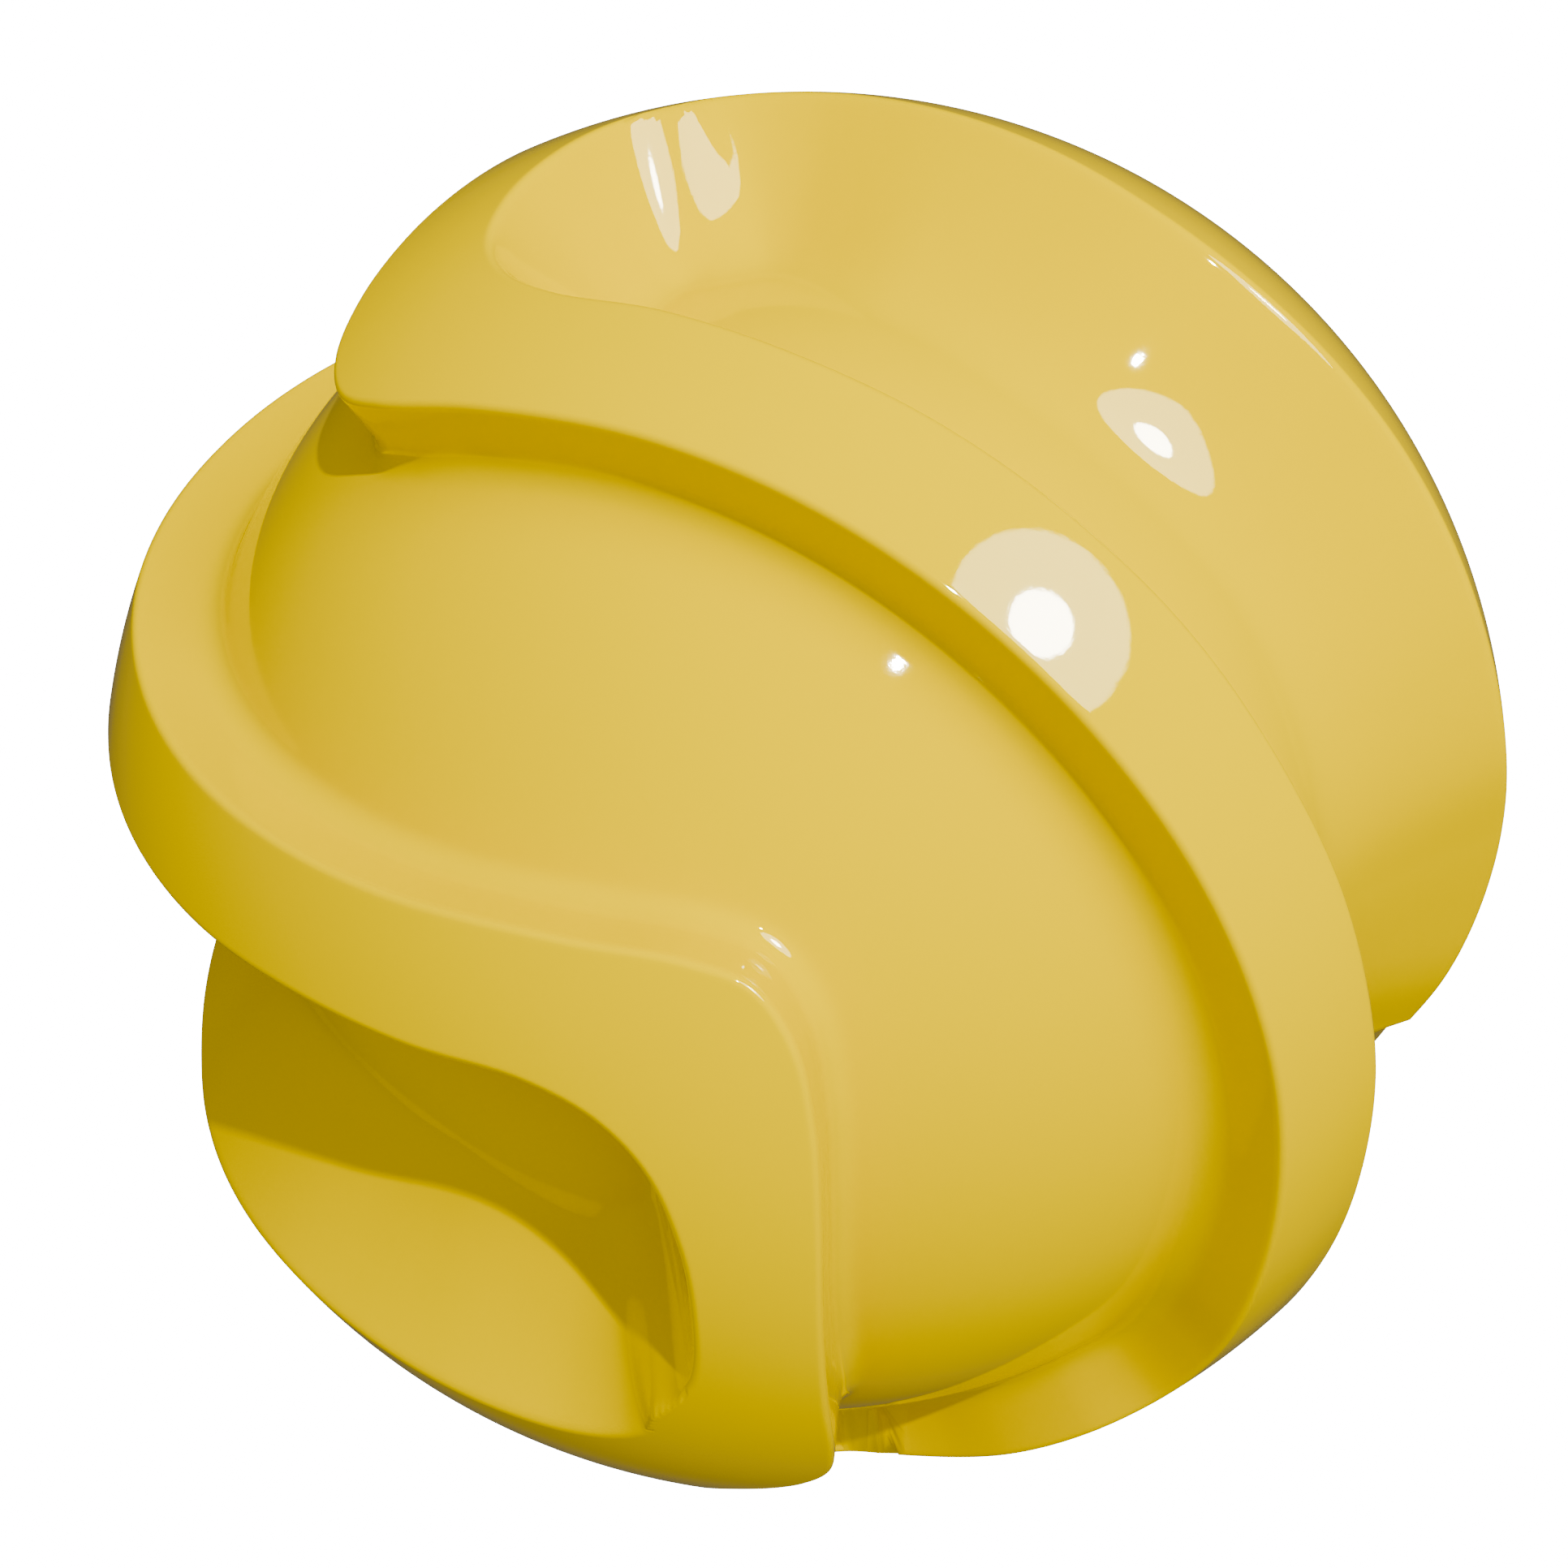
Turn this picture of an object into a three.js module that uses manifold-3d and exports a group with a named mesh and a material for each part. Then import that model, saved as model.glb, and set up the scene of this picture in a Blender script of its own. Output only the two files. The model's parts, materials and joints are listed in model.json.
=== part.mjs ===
// Merry-go-round: a hollow moulded ball, 0.96 m across, that turns on a fixed steel spindle.
// Two scooped seats and one S-shaped foot channel are sunk into the ball, each half the other turned
// by 180 degrees about the spindle. Millimetres, +Z up, origin at the centre of the ground plate's underside.
import * as THREE from "three";
import { ConvexHull } from "three/addons/math/ConvexHull.js";
import * as BufferGeometryUtils from "three/addons/utils/BufferGeometryUtils.js";
import Module from "manifold-3d";

const wasm = await Module();
wasm.setup();

// ---- driving dimensions ----
const BALL_R = 480;
const BALL_Z = 500;
const WALL = 8;
const FLOOR_WALL = 14;
const REACH = 12;
const UNDERSIDE_DROP = 410;
const UNDERSIDE_ANGLE = Math.acos(UNDERSIDE_DROP / BALL_R);

// depths and edge shapes of the sunk features
const CHANNEL = { depth: 54, draft: 8, lip: 5, foot: 20 };
const SEAT = {
  depth: 104, draft: 34, lip: 6, foot: 85, rimLip: 8, rimFoot: 110,
  steep: 2.2, gentle: 1.6, steepUntil: 0.05, gentleFrom: 0.35,
};

// ---- feature lines ----
// Each pair is [u, v] in degrees: the polar angle from +Z is their length, the azimuth their direction.
// The channel line runs along the edge of one band; its 180-degree copy closes the loop.
const CHANNEL_EDGE = [
  [2, -105], [11, -104], [20.7, -100.6], [31.6, -94.2], [42, -86.8], [51.6, -78.4], [56.1, -70],
  [58.2, -61], [59.3, -50], [58.9, -40.6], [57, -30.8], [53, -20.8], [47, -11.1], [38.7, -1.9],
  [29.7, 5.3], [19.7, 11], [8.4, 15.3], [-4.9, 18.2], [-13.5, 19.6], [-17.8, 21.3], [-20.4, 25.5],
  [-21.3, 32], [-20.9, 40], [-19.9, 48], [-18.5, 58], [-17, 67], [-15.1, 72.3], [-11.6, 75.6],
  [-8.4, 77.3], [0, 80.5], [7, 86], [10, 94], [6, 101],
];
// The back of the seat follows the band; the rim is its outer lip.
const SEAT_BACK = [
  [62, -88], [67, -76], [69.8, -65], [71.2, -53.5], [71, -44], [69.4, -32], [66.7, -23.6], [62, -13.6],
  [56.4, -5.4], [47.8, 4.5], [38.4, 12.1], [28.2, 18.2], [18.2, 22.5], [8, 26], [-1, 28.2], [-6, 31],
  [-9, 35], [-10.3, 41], [-10, 47], [-8, 54.5], [-3.5, 61],
];
const SEAT_RIM = [
  [2, 64], [8, 64.8], [15, 63.8], [24, 61], [34, 56.5], [44, 50.8], [54, 45.5], [63, 40.5], [72, 34.5],
  [80, 27], [88, 17.5], [96, 6.5], [103.3, -2.5], [109, -13], [113.2, -27], [115.5, -42], [112.5, -58],
  [103, -73], [88, -86], [74, -92],
];

// ---- facets of the ball: spacing in degrees, rows beside each edge in millimetres ----
const OUTER_MESH = {
  along: 4.2, spread: 7.5, underAngle: UNDERSIDE_ANGLE,
  channelRows: [-5, 0, 6, 13, 27, 62], seatRows: [-6, 2, 20, 46, 85], rimRows: [-6, 10, 38, 70],
};
const INNER_MESH = {
  along: 6.5, spread: 10, underAngle: Math.acos((UNDERSIDE_DROP - FLOOR_WALL) / (BALL_R - WALL)),
  channelRows: [-20, -2, 26], seatRows: [-14, 4, 24, 52, 92], rimRows: [-12, 12, 44, 78],
};

// ---- hub, bearings and base ----
const HUB = { bore: 45, outer: 54, bottom: 79.7, top: 440, opening: 128 };
const FLANGE = { radius: 195, thickness: 10, top: 89.7 };
const INSERTS = { count: 6, circle: 165, radius: 9, length: 11.5, bore: 4.3 };
const BEARING = { bore: 25, outer: 44.6, width: 23, ballR: 6.2, balls: 8, lower: 118, upper: 396 };
const SPINDLE = { shoulder: 34, neck: 30.7, journal: 24.7, thread: 14.7, top: 436 };
const PLATE = { side: 380, thickness: 14, holeR: 9, spacing: 300 };
const CARRIER_RIBS = {
  inner: 54.3, wall: 4, height: 46, reach: 120, ribHeight: 40, ribThickness: 6, ribs: 6,
};
const BASE_RIBS = { inner: 34.3, wall: 6, height: 44, reach: 130, ribHeight: 38, ribThickness: 8, ribs: 4 };
const GAP = 0.3;
const ROUND = 24;

const toRadians = THREE.MathUtils.degToRad;

function makeMesh(name, geometry, color, roughness, metalness) {
  const material = new THREE.MeshStandardMaterial({ color, roughness, metalness });
  const mesh = new THREE.Mesh(geometry, material);
  mesh.name = name;
  return mesh;
}

// ---------------------------------------------------------------- directions and lines on the ball

function chartToDirection(u, v) {
  const polar = toRadians(Math.hypot(u, v));
  const azimuth = Math.atan2(v, u);
  const ring = Math.sin(polar);
  return new THREE.Vector3(ring * Math.cos(azimuth), ring * Math.sin(azimuth), Math.cos(polar));
}

function directionToChart(direction) {
  const polar = THREE.MathUtils.radToDeg(Math.acos(THREE.MathUtils.clamp(direction.z, -1, 1)));
  const azimuth = Math.atan2(direction.y, direction.x);
  return [polar * Math.cos(azimuth), polar * Math.sin(azimuth)];
}

function turned(points) {
  return points.map(([u, v]) => [-u, -v]);
}

// A smooth line through the chart points, sampled every step degrees, as directions.
function sampleLine(points, closed, step) {
  const knots = points.map(([u, v]) => new THREE.Vector3(u, v, 0));
  const curve = new THREE.CatmullRomCurve3(knots, closed, "centripetal");
  const count = Math.max(8, Math.round(curve.getLength() / step));
  const samples = closed ? curve.getSpacedPoints(count).slice(0, -1) : curve.getSpacedPoints(count);
  return samples.map((p) => chartToDirection(p.x, p.y));
}

function distanceToLine(direction, line, closed) {
  let best = 10;
  const last = closed ? line.length : line.length - 1;
  for (let i = 0; i < last; i += 1) {
    const a = line[i];
    const b = line[(i + 1) % line.length];
    const abX = b.x - a.x;
    const abY = b.y - a.y;
    const abZ = b.z - a.z;
    const dot = (direction.x - a.x) * abX + (direction.y - a.y) * abY + (direction.z - a.z) * abZ;
    const t = THREE.MathUtils.clamp(dot / (abX * abX + abY * abY + abZ * abZ), 0, 1);
    const dx = direction.x - a.x - abX * t;
    const dy = direction.y - a.y - abY * t;
    const dz = direction.z - a.z - abZ * t;
    best = Math.min(best, Math.sqrt(dx * dx + dy * dy + dz * dz));
  }
  return 2 * Math.asin(Math.min(1, best / 2));
}

function insideLoop([u, v], loop) {
  let inside = false;
  for (let i = 0, j = loop.length - 1; i < loop.length; j = i, i += 1) {
    const [ui, vi] = loop[i];
    const [uj, vj] = loop[j];
    if (vi > v !== vj > v && u < ((uj - ui) * (v - vi)) / (vj - vi) + ui) inside = !inside;
  }
  return inside;
}

const channelLine = sampleLine([...CHANNEL_EDGE, ...turned(CHANNEL_EDGE)], true, 1.2);
const channelLoop = channelLine.map(directionToChart);
const seatLoopLine = sampleLine([...SEAT_BACK, ...SEAT_RIM], true, 1.2);
const seatLoop = seatLoopLine.map(directionToChart);
const seatBackLine = sampleLine(SEAT_BACK, false, 1.2);
const seatRimLine = sampleLine([SEAT_BACK.at(-1), ...SEAT_RIM, SEAT_BACK[0]], false, 1.2);

// ---------------------------------------------------------------- sunk profiles

// Depth below a flat face, x past the top edge: a rounded lip, then a wall falling rise over run.
function wallDepth(x, draft, fall, lip) {
  const slope = Math.atan2(fall, draft);
  const tangent = lip * Math.tan(slope / 2);
  if (x <= -tangent) return 0;
  const bend = tangent * Math.cos(slope);
  if (x < bend) return lip - Math.sqrt(Math.max(0, lip * lip - (x + tangent) ** 2));
  return x * (fall / draft);
}

function smoothMin(a, b, blend) {
  const h = Math.max(blend - Math.abs(a - b), 0) / blend;
  return Math.min(a, b) - (h * h * blend) / 4;
}

function channelDepth(direction) {
  const distance = distanceToLine(direction, channelLine, true) * BALL_R;
  const x = insideLoop(directionToChart(direction), channelLoop) ? distance : -distance;
  const { depth, draft, lip, foot } = CHANNEL;
  if (x < draft / 2) return wallDepth(x, draft, depth, lip);
  return depth - wallDepth(draft - x, draft, depth, foot);
}

// A bowl with a steep back wall; its rim wall grows gentler towards the open end of the seat, along +X.
function seatDepth(direction) {
  const inside = insideLoop(directionToChart(direction), seatLoop);
  let back = distanceToLine(direction, seatBackLine, false) * BALL_R;
  let rim = distanceToLine(direction, seatRimLine, false) * BALL_R;
  if (!inside && rim < back) rim = -rim;
  else if (!inside) back = -back;
  if (Math.min(back, rim) < -SEAT.rimLip) return 0;
  const along = THREE.MathUtils.smoothstep(direction.x, SEAT.steepUntil, SEAT.gentleFrom);
  const climb = THREE.MathUtils.lerp(SEAT.steep, SEAT.gentle, along);
  const rimWall = wallDepth(rim, SEAT.depth / climb, SEAT.depth, SEAT.rimLip);
  const floor = smoothMin(rimWall, SEAT.depth, SEAT.rimFoot);
  const wall = wallDepth(back, SEAT.draft, SEAT.depth, SEAT.lip);
  return Math.max(0, smoothMin(wall, floor, SEAT.foot));
}

function outerRadius(direction) {
  const opposite = new THREE.Vector3(-direction.x, -direction.y, direction.z);
  const sunk = Math.max(channelDepth(direction), seatDepth(direction), seatDepth(opposite));
  return Math.min(BALL_R - sunk, UNDERSIDE_DROP / Math.max(-direction.z, 1e-6));
}

// The inside follows the lowest outside point nearby, so the wall keeps its thickness at every step.
function innerRadius(direction) {
  const side = new THREE.Vector3(0, 0, 1).cross(direction).normalize();
  const up = direction.clone().cross(side);
  let radius = outerRadius(direction);
  for (let i = 0; i < 8; i += 1) {
    const angle = (Math.PI * i) / 4;
    const near = direction.clone();
    near.addScaledVector(side, (Math.cos(angle) * REACH) / BALL_R);
    near.addScaledVector(up, (Math.sin(angle) * REACH) / BALL_R);
    radius = Math.min(radius, outerRadius(near.normalize()));
  }
  return Math.min(radius - WALL, (UNDERSIDE_DROP - FLOOR_WALL) / Math.max(-direction.z, 1e-6));
}

// ---------------------------------------------------------------- ball skins

function offsetPoint(line, index, closed, offset) {
  const before = line[closed ? (index - 1 + line.length) % line.length : Math.max(0, index - 1)];
  const after = line[closed ? (index + 1) % line.length : Math.min(line.length - 1, index + 1)];
  const along = after.clone().sub(before).normalize();
  const side = line[index].clone().cross(along).normalize();
  return line[index].clone().multiplyScalar(Math.cos(offset)).addScaledVector(side, Math.sin(offset));
}

// Points in rows that follow an edge, so the facets turn where the surface turns.
function rowsAlong(points, closed, step, offsets) {
  const line = sampleLine(points, closed, step);
  const dense = sampleLine(points, closed, 1);
  const rows = [];
  for (const millimetres of offsets) {
    const offset = millimetres / BALL_R;
    for (let i = 0; i < line.length; i += 1) {
      const point = offsetPoint(line, i, closed, offset);
      if (distanceToLine(point, dense, closed) > Math.abs(offset) * 0.9) rows.push(point);
    }
  }
  return rows;
}

function underEdgeRow(angle, step) {
  const count = Math.round((360 * Math.sin(angle)) / step);
  return Array.from({ length: count }, (_, i) => {
    const azimuth = (2 * Math.PI * i) / count;
    const ring = Math.sin(angle);
    return new THREE.Vector3(ring * Math.cos(azimuth), ring * Math.sin(azimuth), -Math.cos(angle));
  });
}

function spreadPoints(step) {
  const count = Math.round(41253 / (0.87 * step * step));
  const points = [];
  for (let i = 0; i < count; i += 1) {
    const z = 1 - (2 * i + 1) / count;
    const ring = Math.sqrt(1 - z * z);
    const azimuth = i * Math.PI * (3 - Math.sqrt(5));
    const point = new THREE.Vector3(ring * Math.cos(azimuth), ring * Math.sin(azimuth), z);
    if (point.y > 0) points.push(point, new THREE.Vector3(-point.x, -point.y, point.z));
  }
  return points;
}

function farEnough(point, kept, gap) {
  const limit = 4 * Math.sin(gap / 2) ** 2;
  return kept.every((other) => point.distanceToSquared(other) > limit);
}

function skinDirections(mesh) {
  const inwards = mesh.seatRows.map((mm) => -mm);
  const rimInwards = mesh.rimRows.map((mm) => -mm);
  const rows = [
    ...underEdgeRow(mesh.underAngle, mesh.along * 1.5),
    ...rowsAlong([...CHANNEL_EDGE, ...turned(CHANNEL_EDGE)], true, mesh.along, mesh.channelRows),
    ...[SEAT_BACK, turned(SEAT_BACK)].flatMap((line) => rowsAlong(line, false, mesh.along, inwards)),
    ...[SEAT_RIM, turned(SEAT_RIM)].flatMap((line) => rowsAlong(line, false, mesh.along, rimInwards)),
  ];
  const edged = [];
  for (const point of rows) {
    if (farEnough(point, edged, toRadians(0.5))) edged.push(point);
  }
  const spread = spreadPoints(mesh.spread);
  return [...edged, ...spread.filter((point) => farEnough(point, edged, toRadians(mesh.spread * 0.55)))];
}

function skinGeometry(mesh, radiusAt) {
  const directions = skinDirections(mesh);
  const indexOf = new Map(directions.map((direction, index) => [direction, index]));
  const hull = new ConvexHull().setFromPoints(directions);
  const indices = [];
  for (const face of hull.faces) {
    let edge = face.edge;
    do {
      indices.push(indexOf.get(edge.head().point));
      edge = edge.next;
    } while (edge !== face.edge);
  }
  const positions = directions.flatMap((direction) => {
    const radius = radiusAt(direction);
    return [direction.x * radius, direction.y * radius, direction.z * radius + BALL_Z];
  });
  const geometry = new THREE.BufferGeometry();
  geometry.setAttribute("position", new THREE.Float32BufferAttribute(positions, 3));
  geometry.setIndex(indices);
  return geometry;
}

// ---------------------------------------------------------------- solid helpers

function toManifold(geometry) {
  const bare = geometry.clone();
  bare.deleteAttribute("normal");
  bare.deleteAttribute("uv");
  const merged = BufferGeometryUtils.mergeVertices(bare, 1e-4);
  const vertProperties = Float32Array.from(merged.getAttribute("position").array);
  const triVerts = Uint32Array.from(merged.getIndex().array);
  return new wasm.Manifold(new wasm.Mesh({ numProp: 3, vertProperties, triVerts }));
}

function fromManifold(solid) {
  const result = solid.getMesh();
  const geometry = new THREE.BufferGeometry();
  geometry.setAttribute("position", new THREE.Float32BufferAttribute(result.vertProperties, 3));
  geometry.setIndex(Array.from(result.triVerts));
  const faceted = geometry.toNonIndexed();
  faceted.computeVertexNormals();
  return faceted;
}

// A turned part about +Z from [radius, height] points listed outline-wise.
function turnedPart(profile, segments = ROUND) {
  const outline = [...profile, profile[0]].map(([radius, height]) => new THREE.Vector2(radius, height));
  const geometry = new THREE.LatheGeometry(outline, segments);
  geometry.rotateX(Math.PI / 2);
  return geometry;
}

function ring(inner, outer, bottom, top, segments = ROUND) {
  return turnedPart([[inner, bottom], [outer, bottom], [outer, top], [inner, top]], segments);
}

function rod(radius, bottom, top, segments = ROUND) {
  const geometry = new THREE.CylinderGeometry(radius, radius, top - bottom, segments);
  geometry.rotateX(Math.PI / 2);
  geometry.translate(0, 0, (top + bottom) / 2);
  return geometry;
}

function slab(width, depth, height, x, y, z) {
  const geometry = new THREE.BoxGeometry(width, depth, height);
  geometry.translate(x, y, z + height / 2);
  return geometry;
}

function circlePlaces(count, radius, start = 0) {
  return Array.from({ length: count }, (_, i) => {
    const angle = start + (2 * Math.PI * i) / count;
    return [radius * Math.cos(angle), radius * Math.sin(angle)];
  });
}

// A central body joined to equally turned copies of another, as one solid.
function joinedWithCopies(centre, geometry, count) {
  let solid = toManifold(centre);
  for (let i = 0; i < count; i += 1) {
    solid = solid.add(toManifold(geometry.clone().rotateZ((2 * Math.PI * i) / count)));
  }
  return fromManifold(solid);
}

// A collar with upright triangular ribs standing on a plate.
function ribbedCollar({ inner, wall, height, reach, ribHeight, ribThickness, ribs }, bottom) {
  const outline = new THREE.Shape();
  outline.moveTo(inner + wall / 2, bottom);
  outline.lineTo(reach, bottom);
  outline.lineTo(reach, bottom + 8);
  outline.lineTo(inner + wall + 4, bottom + ribHeight);
  outline.lineTo(inner + wall / 2, bottom + ribHeight);
  outline.closePath();
  const rib = new THREE.ExtrudeGeometry(outline, { depth: ribThickness, bevelEnabled: false });
  rib.translate(0, 0, -ribThickness / 2);
  rib.rotateX(Math.PI / 2);
  return joinedWithCopies(ring(inner, inner + wall, bottom, bottom + height, 32), rib, ribs);
}

function hexNut(acrossFlats, boreR, bottom, height) {
  const body = toManifold(rod(acrossFlats / Math.sqrt(3), bottom, bottom + height, 6));
  return fromManifold(body.subtract(toManifold(rod(boreR, bottom - 1, bottom + height + 1, 24))));
}

// ---------------------------------------------------------------- ball

const insertPlaces = circlePlaces(INSERTS.count, INSERTS.circle);
const undersideZ = BALL_Z - UNDERSIDE_DROP;

function ballShell() {
  const outer = toManifold(skinGeometry(OUTER_MESH, outerRadius));
  const inner = toManifold(skinGeometry(INNER_MESH, innerRadius));
  const hubHole = toManifold(rod(HUB.opening, undersideZ - 20, undersideZ + 60));
  const socket = rod(INSERTS.radius + GAP, undersideZ - 20, undersideZ + INSERTS.length + GAP, 16);
  let shell = outer.subtract(inner).subtract(hubHole);
  for (const [x, y] of insertPlaces) {
    shell = shell.subtract(toManifold(socket.clone().translate(x, y, 0)));
  }
  return fromManifold(shell);
}

// ---------------------------------------------------------------- hub that turns with the ball

function hubTube() {
  const seatLow = BEARING.lower - GAP;
  const seatHigh = BEARING.upper + BEARING.width + GAP;
  const groove = BEARING.lower - 2.4;
  return turnedPart([
    [BEARING.outer + GAP, HUB.bottom], [HUB.outer, HUB.bottom], [HUB.outer, HUB.top],
    [BEARING.outer + GAP, HUB.top], [BEARING.outer + GAP, seatHigh - BEARING.width - 2 * GAP],
    [BEARING.outer - 3.2, seatHigh - BEARING.width - 2 * GAP],
    [BEARING.outer - 3.2, seatLow + BEARING.width + 2 * GAP],
    [BEARING.outer + GAP, seatLow + BEARING.width + 2 * GAP], [BEARING.outer + GAP, groove],
    [BEARING.outer + 2.6, groove], [BEARING.outer + 2.6, groove - 2.6], [BEARING.outer + GAP, groove - 2.6],
  ], 32);
}

function carrierFlange() {
  const flange = toManifold(
    ring(HUB.outer + GAP, FLANGE.radius, FLANGE.top - FLANGE.thickness, FLANGE.top, 48),
  );
  const hole = rod(4.8, FLANGE.top - 30, FLANGE.top + 10, 12);
  return fromManifold(insertPlaces.reduce(
    (solid, [x, y]) => solid.subtract(toManifold(hole.clone().translate(x, y, 0))),
    flange,
  ));
}

function bearingRing(inner, outer, bottom) {
  const mid = (BEARING.bore + BEARING.outer) / 2;
  const isOuter = inner > mid;
  const z = bottom + BEARING.width / 2;
  const track = BEARING.ballR + 1.1;
  const face = isOuter ? inner : outer;
  const half = Math.sqrt(track * track - (face - mid) ** 2);
  const start = Math.atan2(half, face - mid);
  const arc = [];
  for (let i = 0; i <= 4; i += 1) {
    const angle = isOuter ? start - (2 * start * i) / 4 : start + ((2 * Math.PI - 2 * start) * i) / 4;
    arc.push([mid + track * Math.cos(angle), z + track * Math.sin(angle)]);
  }
  const top = bottom + BEARING.width;
  if (isOuter) {
    return turnedPart([[inner, bottom], [outer, bottom], [outer, top], [inner, top], ...arc], ROUND);
  }
  return turnedPart([[inner, bottom], [outer, bottom], ...arc.reverse(), [outer, top], [inner, top]], ROUND);
}

// The balls run in pockets of a thin cage that links them.
function bearingBalls(bottom) {
  const mid = (BEARING.bore + BEARING.outer) / 2;
  const z = bottom + BEARING.width / 2;
  const ball = new THREE.IcosahedronGeometry(BEARING.ballR, 1);
  ball.translate(mid, 0, z);
  return joinedWithCopies(ring(mid - 1.2, mid + 1.2, z - 2.5, z + 2.5, 24), ball, BEARING.balls);
}

// ---------------------------------------------------------------- fixed spindle and base

const anchorPlaces = [[-1, -1], [1, -1], [1, 1], [-1, 1]].map(
  ([sx, sy]) => [(sx * PLATE.spacing) / 2, (sy * PLATE.spacing) / 2],
);

function groundPlate() {
  const plate = toManifold(slab(PLATE.side, PLATE.side, PLATE.thickness, 0, 0, 0));
  const hole = rod(PLATE.holeR, -10, PLATE.thickness + 10, 24);
  return fromManifold(anchorPlaces.reduce(
    (solid, [x, y]) => solid.subtract(toManifold(hole.clone().translate(x, y, 0))),
    plate,
  ));
}

function spindle() {
  return turnedPart([
    [0, PLATE.thickness + GAP], [SPINDLE.shoulder, PLATE.thickness + GAP],
    [SPINDLE.shoulder, BEARING.lower - 16], [SPINDLE.neck, BEARING.lower - 16],
    [SPINDLE.neck, BEARING.lower - GAP], [SPINDLE.journal, BEARING.lower - GAP],
    [SPINDLE.journal, BEARING.upper + BEARING.width - 1], [SPINDLE.thread, BEARING.upper + BEARING.width - 1],
    [SPINDLE.thread, SPINDLE.top], [0, SPINDLE.top],
  ], ROUND);
}

// ---------------------------------------------------------------- assembly

const YELLOW = 0xdcbf5f;
const GREY_PAINT = 0x6b7076;
const ZINC = 0xb9bdc1;
const BRIGHT = 0xc9ccd0;
const BLACK = 0x26282a;
const BRASS = 0xb8923f;

const steel = (name, geometry) => makeMesh(name, geometry, BRIGHT, 0.28, 1);
const zinc = (name, geometry) => makeMesh(name, geometry, ZINC, 0.42, 1);
const painted = (name, geometry) => makeMesh(name, geometry, GREY_PAINT, 0.5, 0.2);
const brass = (name, geometry) => makeMesh(name, geometry, BRASS, 0.35, 1);
const rubber = (name, geometry) => makeMesh(name, geometry, BLACK, 0.7, 0);

const flangeBottom = FLANGE.top - FLANGE.thickness;
const journalTop = BEARING.upper + BEARING.width;
const threadR = SPINDLE.thread + 0.3;

const group = new THREE.Group();

function addAt(places, build, name, geometry) {
  places.forEach(([x, y], i) => {
    group.add(build(`${name}_${i + 1}`, geometry.clone().translate(x, y, 0)));
  });
}

group.add(makeMesh("ball_shell", ballShell(), YELLOW, 0.2, 0));
group.add(painted("hub_tube", hubTube()));
group.add(painted("carrier_flange", carrierFlange()));
group.add(painted("carrier_ribs", ribbedCollar(CARRIER_RIBS, FLANGE.top + GAP)));

const insert = ring(INSERTS.bore, INSERTS.radius, undersideZ + GAP, undersideZ + INSERTS.length, 16);
addAt(insertPlaces, brass, "threaded_insert", insert);
addAt(insertPlaces, zinc, "flange_washer", ring(4.6, 10, flangeBottom - GAP - 2, flangeBottom - GAP, 14));
const boltHead = flangeBottom - 2 * GAP - 2;
const boltTip = undersideZ + INSERTS.length - 1;
const flangeBolt = turnedPart([
  [0, boltHead - 8], [7.5, boltHead - 8], [7.5, boltHead], [4, boltHead], [4, boltTip], [0, boltTip],
], 12);
addAt(insertPlaces, zinc, "flange_bolt", flangeBolt);

const trackMid = (BEARING.bore + BEARING.outer) / 2;
for (const [label, bottom] of [["lower", BEARING.lower], ["upper", BEARING.upper]]) {
  group.add(steel(`${label}_bearing_outer_ring`, bearingRing(trackMid + 4.2, BEARING.outer, bottom)));
  group.add(steel(`${label}_bearing_inner_ring`, bearingRing(BEARING.bore, trackMid - 4.2, bottom)));
  group.add(steel(`${label}_bearing_balls`, bearingBalls(bottom)));
}
const spacerBottom = BEARING.lower + BEARING.width + GAP;
group.add(zinc("spacer_sleeve", ring(BEARING.bore, BEARING.bore + 5.5, spacerBottom, BEARING.upper - GAP)));

const circlipTop = BEARING.lower - 2.4 - GAP;
const circlip = ring(BEARING.outer - 5, BEARING.outer + 2.3, circlipTop - 2, circlipTop, 32);
group.add(steel("bearing_circlip", circlip));
const sealTop = circlipTop - 2 - GAP;
group.add(rubber("spindle_seal", ring(SPINDLE.neck + GAP, BEARING.outer - 0.2, sealTop - 8, sealTop, 32)));

group.add(steel("spindle", spindle()));
group.add(zinc("spindle_tab_washer", ring(threadR, 27, journalTop + GAP, journalTop + GAP + 2)));
const spindleNutBottom = journalTop + 2 * GAP + 2;
group.add(zinc("spindle_nut", hexNut(41, threadR, spindleNutBottom, 11)));

const capBottom = HUB.top + GAP;
const hubCap = turnedPart([
  [0, capBottom + 2], [HUB.bore - 3, capBottom + 2], [HUB.bore - 3, capBottom - 8],
  [HUB.bore - 0.7, capBottom - 8], [HUB.bore - 0.7, capBottom], [HUB.outer, capBottom],
  [HUB.outer, capBottom + 3], [HUB.bore, capBottom + 5], [0, capBottom + 5],
], 32);
group.add(rubber("hub_cap", hubCap));

group.add(painted("ground_plate", groundPlate()));
group.add(painted("base_ribs", ribbedCollar(BASE_RIBS, PLATE.thickness + GAP)));

export default group;
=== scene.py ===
"""Visual model of the merry-go-round ball: a glossy moulded shell on its steel bearing unit.

The shell is a ball whose radius is a function of direction: two seats and one foot channel are sunk
into it, each half the other turned by 180 degrees about +Z. Metres, in the frame of the CAD model.
"""

import json
import math

import bpy
import numpy as np
from mathutils import Matrix, Vector
from mathutils.geometry import delaunay_2d_cdt
from mathutils.kdtree import KDTree


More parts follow.
